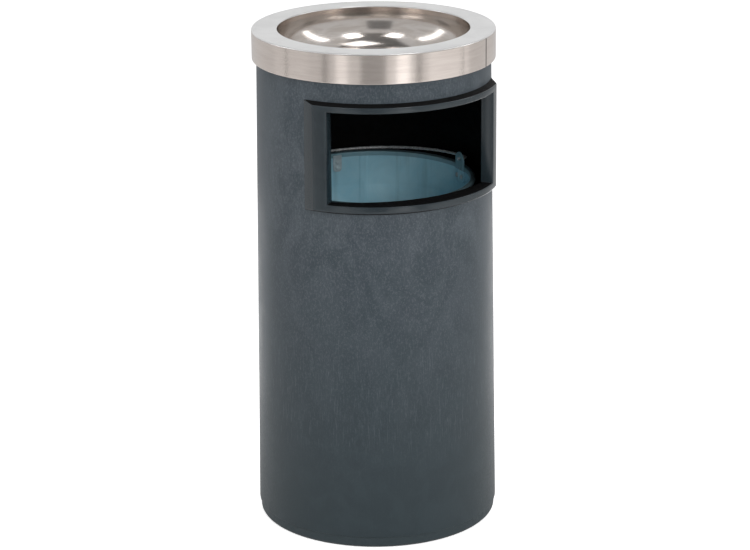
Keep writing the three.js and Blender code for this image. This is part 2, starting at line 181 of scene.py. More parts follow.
def plain_mesh(name, source):
    """The mesh that a curve, or an object with modifiers, comes to. The source goes."""
    evaluated = source.evaluated_get(bpy.context.evaluated_depsgraph_get())
    mesh = bpy.data.meshes.new_from_object(evaluated)
    mesh.name = name
    bpy.data.objects.remove(source)
    return mesh


def finish_piece(piece, body, material, nodes=()):
    """Gives a finished piece its material, its body and the nodes it stands for."""
    piece.data.materials.clear()
    piece.data.materials.append(MATERIALS[material])
    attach(piece, body)
    if nodes:
        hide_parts(*nodes)


def filleted(corners, closed=True, steps=5, guard=0.25):
    """A profile with its corners rounded. Each corner is (radius, height, fillet).

    A guard point stands just outside each fillet, so that flat stretches shade flat."""
    profile = []
    count = len(corners)
    for i, (r, z, fillet) in enumerate(corners):
        here = np.array([r, z], float)
        if not fillet or (not closed and i in (0, count - 1)):
            profile.append(here)
            continue
        back = np.array(corners[i - 1][:2], float) - here
        ahead = np.array(corners[(i + 1) % count][:2], float) - here
        back_length, ahead_length = np.linalg.norm(back), np.linalg.norm(ahead)
        back, ahead = back / back_length, ahead / ahead_length
        half = math.acos(np.clip(back @ ahead, -1, 1)) / 2
        reach = fillet / math.tan(half)
        middle = (back + ahead) / np.linalg.norm(back + ahead)
        centre = here + middle * fillet / math.sin(half)
        start, end = here + back * reach - centre, here + ahead * reach - centre
        if reach + guard < back_length / 2:
            profile.append(here + back * (reach + guard))
        for k in range(steps + 1):
            share = k / steps
            spread = math.pi - 2 * half
            a = math.sin((1 - share) * spread) / math.sin(spread)
            b = math.sin(share * spread) / math.sin(spread)
            profile.append(centre + a * start + b * end)
        if reach + guard < ahead_length / 2:
            profile.append(here + ahead * (reach + guard))
    return [tuple(p) for p in profile]


def bridge(first, second, size):
    """Quads between two rings of points, each given by the number of its first point."""
    return [(first + k, first + (k + 1) % size, second + (k + 1) % size, second + k)
            for k in range(size)]


def turned(name, profile, bearings=EVEN_BEARINGS, dent=None):
    """A counterclockwise profile of (radius, height), in millimetres, turned about the axis.

    A profile that doesn't close on itself starts and ends on the axis. dent(bearing,
    radius, height) may give a small change of radius, for seams."""
    columns = len(bearings)
    points, rows = [], []
    for radius, height in profile:
        on_axis = radius < 1e-6
        rows.append((len(points), on_axis))
        for bearing in bearings[:1] if on_axis else bearings:
            change = dent(bearing, radius, height) if dent else 0
            points.append((0, 0, height * MM) if on_axis
                          else polar(radius + change, bearing, height))
    faces = []
    for (low, low_on_axis), (high, high_on_axis) in zip(rows, rows[1:] + rows[:1]):
        if low_on_axis and high_on_axis:
            continue
        if low_on_axis:
            faces += [(low, high + (k + 1) % columns, high + k) for k in range(columns)]
        elif high_on_axis:
            faces += [(low + k, low + (k + 1) % columns, high) for k in range(columns)]
        else:
            faces += bridge(low, high, columns)
    return make_piece(name, points, faces)


def stacked_loops(name, loops, closed=True):
    """Loops of equally many points, joined one to the next.

    The last loop joins the first, or else a face closes each end."""
    size = len(loops[0])
    starts = [i * size for i in range(len(loops))]
    faces = []
    for first, second in zip(starts, starts[1:] + (starts[:1] if closed else [])):
        faces += bridge(first, second, size)
    if not closed:
        faces += [tuple(range(size))[::-1], tuple(range(starts[-1], starts[-1] + size))]
    return make_piece(name, [p for loop in loops for p in loop], faces)


def join_pieces(name, pieces):
    """Several mesh objects as one, in the order given."""
    points, faces = [], []
    for piece in pieces:
        offset = len(points)
        points.extend(tuple(v.co) for v in piece.data.vertices)
        faces.extend(tuple(i + offset for i in p.vertices) for p in piece.data.polygons)
        bpy.data.objects.remove(piece)
    return make_piece(name, points, faces)


def plate(name, outline, holes, thickness, edge, placing):
    """A flat plate cut from sheet, with softened edges, put in place by a matrix."""
    curve = bpy.data.curves.new(name, "CURVE")
    curve.dimensions = "2D"
    curve.fill_mode = "BOTH"
    curve.extrude = (thickness / 2 - edge) * MM
    curve.bevel_depth = edge * MM
    curve.bevel_resolution = 2
    curve.offset = -edge * MM
    for ring in [outline, *holes]:
        spline = curve.splines.new("POLY")
        spline.points.add(len(ring) - 1)
        for point, (x, y) in zip(spline.points, ring):
            point.co = (x * MM, y * MM, 0, 1)
        spline.use_cyclic_u = True
    mesh = plain_mesh(name, add_object(name + "_flat", curve))
    mesh.transform(placing)
    piece = add_object(name, mesh)
    weld(piece)
    return piece


# ---- Node helpers

class Tree:
    """A small hand for building node trees: add a node, set its values, link it."""

    def __init__(self, tree):
        self.tree = tree

    def add(self, kind, settings=None, **inputs):
        node = self.tree.nodes.new(kind)
        for name, value in (settings or {}).items():
            setattr(node, name, value)
        for name, value in inputs.items():
            self.feed(node, name.replace("_", " "), value)
        return node

    def made(self, kind, settings=None, **inputs):
        """The first output of a new node."""
        return self.add(kind, settings, **inputs).outputs[0]

    def feed(self, node, socket, value):
        target = node.inputs[socket]
        if isinstance(value, bpy.types.NodeSocket):
            self.tree.links.new(value, target)
        else:
            target.default_value = value

    def math(self, operation, *values, clamp=False):
        node = self.add("ShaderNodeMath", {"operation": operation, "use_clamp": clamp})
        for socket, value in enumerate(values):
            self.feed(node, socket, value)
        return node.outputs[0]

    def times(self, first, second, clamp=False):
        return self.math("MULTIPLY", first, second, clamp=clamp)

    def ramp(self, value, slope, start):
        """slope times the value, plus start."""
        return self.math("MULTIPLY_ADD", value, slope, start)

    def between(self, value, low, high):
        """0 below low, 1 above high, smooth between."""
        node = self.add("ShaderNodeMapRange", {"interpolation_type": "SMOOTHSTEP", "clamp": True},
                        Value=value, From_Min=low, From_Max=high)
        return node.outputs["Result"]

    def blend(self, factor, first, second):
        """One colour laid over another by a factor."""
        node = self.add("ShaderNodeMix", {"data_type": "RGBA"})
        sockets = [i for i, socket in enumerate(node.inputs) if socket.enabled]
        for socket, value in zip(sockets, (factor, first, second)):
            self.feed(node, socket, value)
        return next(s for s in node.outputs if s.enabled)

    def noise(self, vector, scale, detail=4.0, roughness=0.55, distortion=0.0):
        return self.made("ShaderNodeTexNoise", Vector=vector, Scale=scale, Detail=detail,
                         Roughness=roughness, Distortion=distortion)

    def stretched(self, vector, scale, turn=(0, 0, 0)):
        return self.made("ShaderNodeMapping", Vector=vector, Scale=scale, Rotation=turn)

    def height(self, vector):
        return self.add("ShaderNodeSeparateXYZ", Vector=vector).outputs["Z"]


def new_tree(name, kind, inputs, outputs):
    """A node tree with named inputs (name, kind, value) and outputs (name, kind)."""
    group = bpy.data.node_groups.new(name, kind)
    for label, socket_kind, value in inputs:
        socket = group.interface.new_socket(label, in_out="INPUT",
                                            socket_type="NodeSocket" + socket_kind)
        if value is not None:
            socket.default_value = value
    for label, socket_kind in outputs:
        group.interface.new_socket(label, in_out="OUTPUT",
                                   socket_type="NodeSocket" + socket_kind)
    tree = Tree(group)
    return tree, tree.add("NodeGroupInput").outputs, tree.add("NodeGroupOutput")


def effect_group(name, numbers, outputs):
    """A shader group that takes a vector and numbers, and gives numbers."""
    inputs = [("Vector", "Vector", None)] + [(label, "Float", value) for label, value in numbers]
    return new_tree(name, "ShaderNodeTree", inputs, [(label, "Float") for label in outputs])


def make_material(name):
    """A material with its Principled BSDF and its object coordinates at hand."""
    material = bpy.data.materials.new(name)
    material.use_nodes = True
    tree = Tree(material.node_tree)
    shader = material.node_tree.nodes["Principled BSDF"]
    place = tree.add("ShaderNodeTexCoord").outputs["Object"]
    return material, tree, shader, place


def add_group(tree, group, **inputs):
    node = tree.add("ShaderNodeGroup", {"node_tree": group})
    for name, value in inputs.items():
        tree.feed(node, name.replace("_", " "), value)
    return node.outputs


# ---- Effects shared by materials

def make_mottle_group():
    """Fine flecks and soft swirls, as in moulded plastic with a filler."""
    tree, given, result = effect_group(
        "moulded mottle", [("Fleck Scale", 560.0), ("Swirl Scale", 16.0)], ["Flecks", "Swirls"])
    vector, scale = given["Vector"], given["Fleck Scale"]
    wander = tree.add("ShaderNodeTexNoise", Vector=vector, Scale=38.0, Detail=2.0)
    bent = tree.add("ShaderNodeVectorMath", {"operation": "MULTIPLY_ADD"})
    for socket, value in enumerate((wander.outputs["Color"], (0.006, 0.006, 0.006), vector)):
        tree.feed(bent, socket, value)
    fine = tree.noise(bent.outputs[0], scale, 3.0, 0.6)
    coarse = tree.noise(bent.outputs[0], tree.times(scale, 0.38), 2.0, 0.5)
    flecks = tree.math("ADD", tree.times(fine, 0.55), tree.times(coarse, 0.45))
    swirl = tree.noise(vector, given["Swirl Scale"], 5.0, 0.6, 1.4)
    tree.feed(result, "Flecks", tree.between(flecks, 0.34, 0.66))
    tree.feed(result, "Swirls", tree.between(swirl, 0.36, 0.66))
    return tree.tree


def make_scratch_group():
    """Thin scratches that run up and down a round wall."""
    tree, given, result = effect_group(
        "upright scratches", [("Density", 330.0), ("Length", 9.0), ("Amount", 0.5)],
        ["Scratches"])
    spread = tree.made("ShaderNodeCombineXYZ", X=given["Density"], Y=given["Density"],
                       Z=given["Length"])
    scaled = tree.add("ShaderNodeVectorMath", {"operation": "MULTIPLY"})
    tree.feed(scaled, 0, given["Vector"])
    tree.feed(scaled, 1, spread)
    lines = tree.noise(scaled.outputs[0], 1.0, 3.0, 0.65, 0.2)
    over = tree.math("SUBTRACT", lines, tree.ramp(given["Amount"], -0.2, 0.72))
    tree.feed(result, "Scratches", tree.times(over, 9.0, clamp=True))
    return tree.tree


def make_metal_group():
    """Fine working marks and soft cloudiness on sheet metal."""
    tree, given, result = effect_group(
        "metal marks", [("Grain Scale", 500.0), ("Cloud Scale", 22.0)], ["Grain", "Clouds"])
    grain = tree.noise(given["Vector"], given["Grain Scale"], 3.0, 0.6)
    clouds = tree.noise(given["Vector"], given["Cloud Scale"], 4.0, 0.55, 0.6)
    tree.feed(result, "Grain", tree.between(grain, 0.3, 0.7))
    tree.feed(result, "Clouds", tree.between(clouds, 0.32, 0.68))
    return tree.tree


MOTTLE = make_mottle_group()
SCRATCHES = make_scratch_group()
METAL_MARKS = make_metal_group()


# ---- Materials

def set_surface(tree, shader, base, rough, relief, strength, distance, metallic=0.0):
    """Feeds a material's colour, roughness and metalness, and its fine relief."""
    for socket, value in (("Base Color", base), ("Roughness", rough), ("Metallic", metallic)):
        tree.feed(shader, socket, value)
    bump = tree.made("ShaderNodeBump", Strength=strength, Distance=distance, Height=relief)
    tree.feed(shader, "Normal", bump)


def mottled_plastic():
    """The body: grey plastic, flecked, scratched; plainer towards the foot, and painted darker
    there as painted shade.
    """
    material, tree, shader, place = make_material("mottled plastic")
    height = tree.height(place)
    mottle = add_group(tree, MOTTLE, Vector=tree.stretched(place, (1, 1, 0.6)),
                       Fleck_Scale=1150.0, Swirl_Scale=20.0)
    rise = tree.between(height, 0.03, 0.46)
    patchy = tree.times(mottle["Swirls"], rise)
    # Painted shade: the colour runs from lighter at the top to darker towards the foot.
    base = tree.blend(rise, linear(26, 41, 47), linear(47, 57, 65))
    cool = tree.noise(place, 24.0, 3.0, 0.6, 0.8)
    base = tree.blend(tree.times(tree.between(cool, 0.4, 0.62), 0.35), base, linear(38, 52, 58))
    cloud_weight = tree.ramp(tree.between(height, 0.34, 0.45), 0.08, 0.15)
    base = tree.blend(tree.times(patchy, cloud_weight), base, linear(106, 113, 119))
    fleck_weight = tree.ramp(rise, 0.2, 0.02)
    fleck_light = tree.times(tree.between(mottle["Flecks"], 0.5, 0.95), fleck_weight)
    fleck_dark = tree.times(tree.between(mottle["Flecks"], 0.5, 0.05), fleck_weight)
    base = tree.blend(fleck_light, base, linear(122, 127, 132))
    base = tree.blend(fleck_dark, base, linear(36, 41, 47))
    band = tree.times(tree.between(height, 0.09, 0.18), tree.between(height, 0.36, 0.24))
    scratches = add_group(tree, SCRATCHES, Vector=place, Density=640.0, Length=52.0,
                          Amount=0.8)["Scratches"]
    marked = tree.times(scratches, tree.ramp(band, 0.17, 0.02))
    base = tree.blend(marked, base, linear(104, 113, 119))
    rough = tree.ramp(mottle["Flecks"], 0.14, 0.40)
    relief = tree.math("ADD", tree.times(mottle["Flecks"], fleck_weight),
                       tree.times(marked, -0.6))
    rough = tree.ramp(patchy, 0.08, rough)
    set_surface(tree, shader, base, rough, relief, 0.35, 0.0004)
    return material


def shaded_inner_plastic():
    """The inside of the body: the same plastic, painted near black as painted shade for the dark
    inside.
    """
    material, tree, shader, place = make_material("shaded inner plastic")
    mottle = add_group(tree, MOTTLE, Vector=place, Fleck_Scale=300.0)
    # Painted shade: near-black colour stands for the shade inside the body.
    base = tree.blend(tree.times(mottle["Swirls"], 0.5), linear(5, 5, 6), linear(12, 12, 12))
    shader.inputs["Specular IOR Level"].default_value = 0.15
    rough = tree.ramp(mottle["Flecks"], 0.15, 0.6)
    set_surface(tree, shader, base, rough, mottle["Flecks"], 0.2, 0.0003)
    return material


def smooth_plastic():
    """The opening's frame: smooth dark moulding with a faint flow pattern."""
    material, tree, shader, place = make_material("smooth dark plastic")
    mottle = add_group(tree, MOTTLE, Vector=place, Fleck_Scale=420.0, Swirl_Scale=22.0)
    base = tree.blend(tree.times(mottle["Swirls"], 0.35), linear(31, 40, 45), linear(39, 49, 54))
    scratches = add_group(tree, SCRATCHES, Vector=place, Density=420.0, Length=12.0, Amount=0.25)
    base = tree.blend(tree.times(scratches["Scratches"], 0.12), base, linear(86, 90, 94))
    rough = tree.ramp(mottle["Swirls"], 0.06, 0.18)
    set_surface(tree, shader, base, rough, mottle["Flecks"], 0.03, 0.0002)
    return material


def base_plastic():
    """The foot: plain dark plastic, scuffed where it meets the ground."""
    material, tree, shader, place = make_material("foot plastic")
    mottle = add_group(tree, MOTTLE, Vector=place, Fleck_Scale=500.0, Swirl_Scale=26.0)
    base = tree.blend(tree.times(mottle["Swirls"], 0.3), linear(36, 49, 54), linear(45, 57, 62))
    scuffed = tree.times(tree.between(tree.height(place), 6 * MM, 0.0),
                        tree.between(mottle["Flecks"], 0.45, 0.8))
    base = tree.blend(tree.times(scuffed, 0.4), base, linear(96, 98, 98))
    rough = tree.ramp(mottle["Flecks"], 0.15, 0.45)
    set_surface(tree, shader, base, rough, mottle["Flecks"], 0.15, 0.0003)
    return material


def polished_steel():
    """The ring: polished stainless steel with faint turning marks; its skirt is tinted warmer as a
    painted reflection of warm surroundings.
    """
    material, tree, shader, place = make_material("polished ring steel")
    marks = add_group(tree, METAL_MARKS, Vector=tree.stretched(place, (1, 1, 14)),
                      Grain_Scale=260.0)
    skirt = tree.between(tree.height(place), (TOTAL_HEIGHT - 0.5) * MM, (TOTAL_HEIGHT - 2) * MM)
    # Painted reflection: the skirt's warm tint stands for the warm surroundings it mirrors.
    painted_warm_reflection = tree.blend(marks["Clouds"], linear(216, 205, 198), linear(224, 214, 207))
    pale = tree.blend(marks["Clouds"], linear(208, 208, 208), linear(218, 218, 218))
    turned_place = tree.stretched(place, (1, 1, 1), (0, 0, math.radians(-RING_SEAM_BEARING)))
    across = tree.add("ShaderNodeSeparateXYZ", Vector=turned_place).outputs
    beside = tree.math("ABSOLUTE", across["X"])
    in_front = tree.math("LESS_THAN", across["Y"], -0.15)
    weld_line = tree.times(tree.between(beside, 1.6 * MM, 0.8 * MM), in_front)
    weld_line = tree.times(weld_line, skirt)
    colour = tree.blend(skirt, pale, painted_warm_reflection)
    satin = tree.ramp(skirt, -0.16, 0.30)
    base = tree.blend(weld_line, colour, linear(30, 26, 24))
    rough = tree.ramp(marks["Grain"], 0.05, satin)
    set_surface(tree, shader, base, rough, marks["Grain"], 0.04, 0.0001, metallic=1.0)
    return material


def bowl_steel():
    """The bowl: drawn and polished stainless steel with soft draw marks."""
    material, tree, shader, place = make_material("polished bowl steel")
    marks = add_group(tree, METAL_MARKS, Vector=tree.stretched(place, (1, 1, 5)), Grain_Scale=220.0,
                      Cloud_Scale=30.0)
    base = tree.blend(marks["Clouds"], linear(202, 194, 187), linear(214, 208, 203))
    rough = tree.ramp(marks["Grain"], 0.06, 0.13)
    set_surface(tree, shader, base, rough, marks["Grain"], 0.04, 0.0001, metallic=1.0)
    return material


def galvanised_steel():
    """The bucket: zinc-coated sheet with spangle and rub marks; its inside face is painted a bright
    blue-green as painted light and painted reflection, its outside a plainer zinc tone.
    """
    material, tree, shader, place = make_material("galvanised steel")
    spangle = tree.add("ShaderNodeTexVoronoi", Vector=place, Scale=120.0).outputs["Color"]
    grey = tree.add("ShaderNodeSeparateColor", Color=spangle).outputs[0]
    marks = add_group(tree, METAL_MARKS, Vector=place, Cloud_Scale=18.0)
    drawn = tree.noise(tree.stretched(place, (60, 60, 5)), 1.0, 3.0, 0.6)
    # Painted light and painted reflection: the bright blue-green stands for the lit inside of the
    # bucket.
    base = tree.blend(marks["Clouds"], linear(152, 204, 222), linear(176, 222, 236))
    base = tree.blend(tree.times(grey, 0.22), base, linear(178, 214, 226))
    base = tree.blend(tree.times(tree.between(drawn, 0.5, 0.75), 0.35), base,
                      linear(104, 146, 160))
    flat = tree.add("ShaderNodeVectorMath", {"operation": "LENGTH"},
                    Vector=tree.stretched(place, (1, 1, 0))).outputs["Value"]
    # The outside face takes a plainer, darker zinc tone; the inside keeps the painted light.
    outside = tree.between(flat, (BUCKET_R + 0.2) * MM, (BUCKET_R + 0.6) * MM)
    base = tree.blend(tree.times(outside, 0.8), base, linear(112, 132, 139))
    # Painted reflection: from the rolled rim up, the colour is darkened for the dark inside of the
    # body that it mirrors.
    rim_low = RIM_CENTRE_Z - RIM_BEAD_R
    rim = tree.between(tree.height(place), (rim_low - 1) * MM, rim_low * MM)
    base = tree.blend(tree.times(rim, 0.5), base, linear(58, 74, 80))
    rough = tree.ramp(grey, 0.10, 0.33)
    rough = tree.ramp(marks["Clouds"], 0.08, rough)
    metallic = tree.ramp(outside, 0.5, 0.2)
    relief = tree.math("ADD", grey, marks["Grain"])
    set_surface(tree, shader, base, rough, relief, 0.04, 0.0003, metallic=metallic)
    return material


def bright_zinc(name, tint, rough, metallic=1.0):
    """Small bright steel parts: screws, rivets, the wire, the bail's rest and the head's
    collar."""
    material, tree, shader, place = make_material(name)
    marks = add_group(tree, METAL_MARKS, Vector=place, Grain_Scale=900.0, Cloud_Scale=90.0)
    darker = tuple(0.72 * c for c in tint[:3]) + (1.0,)
    base = tree.blend(marks["Clouds"], darker, tint)
    rough = tree.ramp(marks["Grain"], 0.14, rough)
    set_surface(tree, shader, base, rough, marks["Grain"], 0.08, 0.0001, metallic=metallic)
    return material


MATERIALS = {
    "body": mottled_plastic(),
    "inside": shaded_inner_plastic(),
    "frame": smooth_plastic(),
    "foot": base_plastic(),
    "ring": polished_steel(),
    "bowl": bowl_steel(),
    "bucket": galvanised_steel(),
    "zinc": bright_zinc("bright zinc", linear(190, 194, 198), 0.24),
    "plate": bright_zinc("plate zinc", linear(196, 214, 220), 0.4, metallic=0.3),
    "wire": bright_zinc("wire zinc", linear(214, 218, 220), 0.18, metallic=0.6),
}


# ---- Foot and body

def make_foot():
    foot = turned("foot", filleted([
        (0, 0, 0), (FOOT_R, 0, FOOT_ROUND), (FOOT_R, FOOT_HEIGHT, 0.5),
        (SPIGOT_R, FOOT_HEIGHT, 0.4), (SPIGOT_R, SPIGOT_TOP, 1.0), (0, SPIGOT_TOP, 0)],
        closed=False))
    finish_piece(foot, "root", "foot", ["base_plug"])


def spaced(values, step):
    """The values, with points put between them so that none lie further apart than step."""
    result = []
    for low, high in zip(values, values[1:]):
        count = max(1, math.ceil((high - low) / step))
        result.extend(low + (high - low) * k / count for k in range(count))
    return result + [values[-1]]


def make_shell():
    """The body: outer and inner wall as one grid, left out where the window is."""
    bearings = spaced([-WINDOW_BEARING, WINDOW_BEARING, 360 - WINDOW_BEARING], 1.5)[:-1]
    straight_low, straight_high = 40, SHELL_HIGH - 2
    low = filleted([
        (SHELL_BOTTOM_R - SHELL_WALL, SHELL_LOW, 0), (SHELL_BOTTOM_R, SHELL_LOW, 1),
        (shell_radius(straight_low), straight_low, 0)], closed=False, steps=6)
    heights = spaced([straight_low, WINDOW_LOW, WINDOW_HIGH, straight_high], 18)
    outer = [(shell_radius(z), z) for z in heights]
    top = filleted([
        (*outer[-1], 0), (SHELL_TOP_R, SHELL_HIGH, 0.8),
        (SHELL_TOP_R - SHELL_WALL, SHELL_HIGH, 0.8),
        (outer[-1][0] - SHELL_WALL, straight_high, 0)], closed=False, steps=3)
    inner = [(r - SHELL_WALL, z) for r, z in reversed(outer)]
    profile = low[1:-1] + outer + top[1:-1] + inner + [(SHELL_BOTTOM_R - SHELL_WALL, SHELL_LOW)]
    columns, count = len(bearings), len(profile)
    points = [polar(r, b, z) for r, z in profile for b in bearings]
    low_out, high_out, high_in, low_in = [
        i for i, (_, z) in enumerate(profile) if z in (WINDOW_LOW, WINDOW_HIGH)]
    gaps = sum(1 for b in bearings if b <= WINDOW_BEARING + 1e-6) - 1
    faces = []
    for row in range(count):
        cut = low_out <= row < high_out or high_in <= row < low_in
        quads = bridge(row * columns, (row + 1) % count * columns, columns)
        faces += quads[gaps:] if cut else quads
    # The sill and the lintel of the window, then its jambs.
    faces += bridge(low_out * columns, low_in * columns, columns)[:gaps]
    faces += bridge(high_in * columns, high_out * columns, columns)[:gaps]
    for step in range(high_out - low_out):
        outer_row, inner_row = (low_out + step) * columns, (low_in - step) * columns
        for k, turn in ((0, 1), (gaps, -1)):
            quad = (outer_row + k, inner_row + k, inner_row - columns + k, outer_row + columns + k)
            faces.append(quad[::turn])
    shell = make_piece("body_wall", points, faces)
    weld(shell)
    finish_piece(shell, "root", "body", ["body_shell"])
    # The inner faces take the near-black painted-shade plastic.
    shell.data.materials.append(MATERIALS["inside"])
    for face in shell.data.polygons:
        radius = math.hypot(face.center.x, face.center.y) / MM
        inner_face = radius < shell_radius(face.center.z / MM) - SHELL_WALL + 0.4
        face.material_index = int(inner_face)


def make_bosses():
    """Four screw bosses with webs, inside the foot of the body."""
    outline = [(12, -4), (12, 4)] + arc_points(0, 0, 6.5, 320, 40, 28)
    bosses = []
    for bearing in FOOT_SCREW_BEARINGS:
        turn = Matrix.Rotation(math.radians(bearing - 90), 4, "Z")
        loops = []
        for height, inset in ((23.5, 0.4), (23.9, 0), (44.6, 0), (45, 0.4)):
            shrink = (1 - inset / 10) * MM
            loops.append([turn @ Vector((FOOT_SCREW_R * MM + x * shrink, y * shrink, height * MM))
                          for x, y in outline])
        bosses.append(stacked_loops(f"boss_{bearing}", loops, closed=False))
        weld(bosses[-1])
    # The bosses take the near-black painted-shade plastic.
    finish_piece(join_pieces("body_bosses", bosses), "root", "inside")


# ---- Opening frame

LOOP_SIDE = 72
LOOP_END = 20
LOOP_CORNER = 8


def frame_loop(place, low, high, corner, half_width):
    """A rounded rectangle of points. place(share, height) puts each one in space:
    share runs from -1 at the left end to 1 at the right end."""
    corner_share = corner / half_width
    right, bottom, top = 1 - corner_share, low + corner, high - corner
    loop = []

    def arc(share, height, start):
        for k in range(LOOP_CORNER):
            angle = math.radians(start + 90 * k / LOOP_CORNER)
            loop.append(place(share + corner_share * math.cos(angle),
                              height + corner * math.sin(angle)))

    def run(start, end, steps):
        for k in range(steps):
            loop.append(place(*(a + (b - a) * k / steps for a, b in zip(start, end))))

    run((-right, low), (right, low), LOOP_SIDE)
    arc(right, bottom, -90)
    run((1, bottom), (1, top), LOOP_END)
    arc(right, top, 0)
    run((right, high), (-right, high), LOOP_SIDE)
    arc(-right, top, 90)
    run((-1, top), (-1, bottom), LOOP_END)
    arc(-right, bottom, 180)
    return loop


def on_wall(bearing, proud=None, radius=None):
    """Places loop points at a bearing, on the body's wall or at a radius."""
    def place(share, height):
        r = radius if radius is not None else shell_radius(height) + proud
        return polar(r, bearing * share, height)
    return place


def at_throat_back(half_width, depth=0.0):
    """Places loop points along the arc on which the throat ends."""
    half_angle = math.asin(half_width / THROAT_BACK_R)

    def place(share, height):
        angle = half_angle * share
        radius = THROAT_BACK_R + depth
        return (radius * math.sin(angle) * MM,
                (THROAT_BACK_CENTRE - radius * math.cos(angle)) * MM, height * MM)
    return place


def make_opening_frame():
    """A section of the frame carried round its window as a stack of loops."""
    sections = [
        # place, low, high, corner radius, half width along the wall
        (on_wall(59.2, proud=0.12), 459.6, 604.9, 1.2, 160),
        (on_wall(59.2, proud=0.35), 459.7, 604.8, 1.2, 160),
        (on_wall(59.15, proud=0.6), 459.9, 604.6, 1.2, 160),
        (on_wall(59.0, proud=0.8), 460.1, 604.4, 1.2, 160),
        (on_wall(53.2, radius=FRAME_R - 1.1), 462.8, 601.8, 1.1, 150),
        (on_wall(52.7, radius=FRAME_R - 0.6), 463.0, 601.5, 1.0, 150),
        (on_wall(52.2, radius=FRAME_R - 0.22), 463.4, 601.1, 1.0, 149),
        (on_wall(51.7, radius=FRAME_R - 0.05), 463.9, 600.6, 0.9, 148),
        (on_wall(51.2, radius=FRAME_R), 464.4, 600.1, 0.9, 147),
        (on_wall(46.75, radius=FRAME_R), 470.8, 595.2, 0.9, 135),
        (on_wall(46.55, radius=FRAME_R - 0.04), 471.1, 594.9, 0.9, 134),
        (on_wall(46.2, radius=FRAME_R - 0.4), 471.7, 594.3, 0.9, 133),
        (on_wall(46.05, radius=FRAME_R - 0.7), 471.95, 594.05, 0.9, 132),
        (on_wall(46.0, radius=FRAME_R - 1.1), 472.0, 594.0, 0.9, 132),
        (at_throat_back(106.2, 0.8), 472.0, 594.0, 0.9, 112),
        (at_throat_back(106.3, 0.3), 471.9, 594.1, 0.9, 112),
        (at_throat_back(106.6, 0.0), 471.5, 594.5, 1.2, 112),
        (at_throat_back(108.6, 0.0), 469.5, 596.5, 2, 114),
        (at_throat_back(109.0, 0.3), 469.1, 596.9, 2.2, 114),
        (on_wall(47.05, radius=150.6), 469.0, 597.0, 2.4, 134),
        (on_wall(47.05, radius=155.4), 469.0, 597.0, 2.4, 134),
    ]
    loops = [frame_loop(place, low, high, corner, width)
             for place, low, high, corner, width in sections]
    surround = stacked_loops("opening_surround", loops)
    weld(surround, 0.001)
    finish_piece(surround, "root", "frame", ["opening_frame"])
    # Level faces inside the throat take the near-black painted-shade plastic.
    surround.data.materials.append(MATERIALS["inside"])
    for face in surround.data.polygons:
        radius = math.hypot(face.center.x, face.center.y) / MM
        level = abs(face.normal.z) > 0.6
        face.material_index = int(level and radius < FRAME_R - 2.5)


# ---- Head

def seam_bearings(seam, fine):
    """Even bearings round the circle, with a few close together at a seam."""
    kept = [b for b in EVEN_BEARINGS if abs(b - seam) > fine[-1] * 1.5]
    extra = [seam + side * f for f in fine for side in (-1, 1)]
    return sorted(kept + extra + [seam])


def seam_distance(bearing, seam, radius):
    """How far round the circle a bearing lies from a seam, in millimetres."""
    return math.radians(abs((bearing - seam + 180) % 360 - 180)) * radius


def make_ring():
    """The ring: skirt, rolled top edge, flat top and the lip turned down at the mouth."""
    corners = filleted([
        (RING_R - RING_SHEET, RING_SKIRT_LOW, 0.4), (RING_R, RING_SKIRT_LOW, 0.7),
        (RING_R, TOTAL_HEIGHT, 1.9), (MOUTH_R, TOTAL_HEIGHT, 1.6),
        (MOUTH_R, LIP_LOW, 0.4), (MOUTH_R + RING_SHEET, LIP_LOW, 0.4),
        (MOUTH_R + RING_SHEET, TOTAL_HEIGHT - RING_SHEET, 0.8),
        (RING_R - RING_SHEET, TOTAL_HEIGHT - RING_SHEET, 0.9)], steps=7)
    notch_top = RING_SKIRT_LOW + 2.2

    def seam(bearing, radius, height):
        """A shallow butt joint in the skirt, open at the lower edge."""
        away = seam_distance(bearing, RING_SEAM_BEARING, RING_R)
        on_skirt = radius > RING_R - 0.5 and height < TOTAL_HEIGHT - 2
        if not on_skirt or away > 0.6:
            return 0
        return -(0.8 if height < notch_top else 0.4) * (1 - away / 0.6)

    profile = []
    for here, after in zip(corners, corners[1:] + corners[:1]):
        profile.append(here)
        if here[0] > RING_R - 0.1 and abs(after[1] - here[1]) > 20:
            profile += [(RING_R, notch_top - 0.1), (RING_R, notch_top + 0.2)]
    bearings = seam_bearings(RING_SEAM_BEARING, [0.07, 0.14, 0.22, 0.4])
    ring = turned("head_ring", profile, bearings, seam)
    finish_piece(ring, "head", "ring", ["top_ring"])


def bowl_side(radius, floor, corner):
    centre = (radius - corner, floor + corner)
    return arc_points(*centre, corner, 0, -90, 28)


def make_bowl():
    sheet, flat = 1, 40
    outside = bowl_side(BOWL_R + sheet, BOWL_FLOOR - sheet, BOWL_CORNER_R + sheet)
    bowl = turned("bowl", [
        (0, BOWL_FLOOR - sheet), (flat, BOWL_FLOOR - sheet), *outside[::-1],
        (BOWL_R + sheet, HEAD_FLANGE_LOW), (BOWL_FLANGE_R, HEAD_FLANGE_LOW),
        (BOWL_FLANGE_R, HEAD_FLANGE_TOP), (BOWL_R + 0.6, HEAD_FLANGE_TOP),
        (BOWL_R, HEAD_FLANGE_TOP - 0.6), *bowl_side(BOWL_R, BOWL_FLOOR, BOWL_CORNER_R),
        (flat, BOWL_FLOOR), (0, BOWL_FLOOR)])
    finish_piece(bowl, "head", "bowl", ["ash_bowl"])


def make_collar():
    collar = turned("locating_collar", filleted([
        (COLLAR_R - 1.2, COLLAR_LOW, 0.3), (COLLAR_R, COLLAR_LOW, 0.3),
        (COLLAR_R, HEAD_FLANGE_TOP, 0.6), (BOWL_FLANGE_R + 0.6, HEAD_FLANGE_TOP, 0.3),
        (BOWL_FLANGE_R + 0.6, HEAD_FLANGE_LOW, 0.3), (COLLAR_R - 1.2, HEAD_FLANGE_LOW, 0.3)],
        steps=3, guard=0.1))
    finish_piece(collar, "head", "zinc", ["head_collar"])


# ---- Bucket

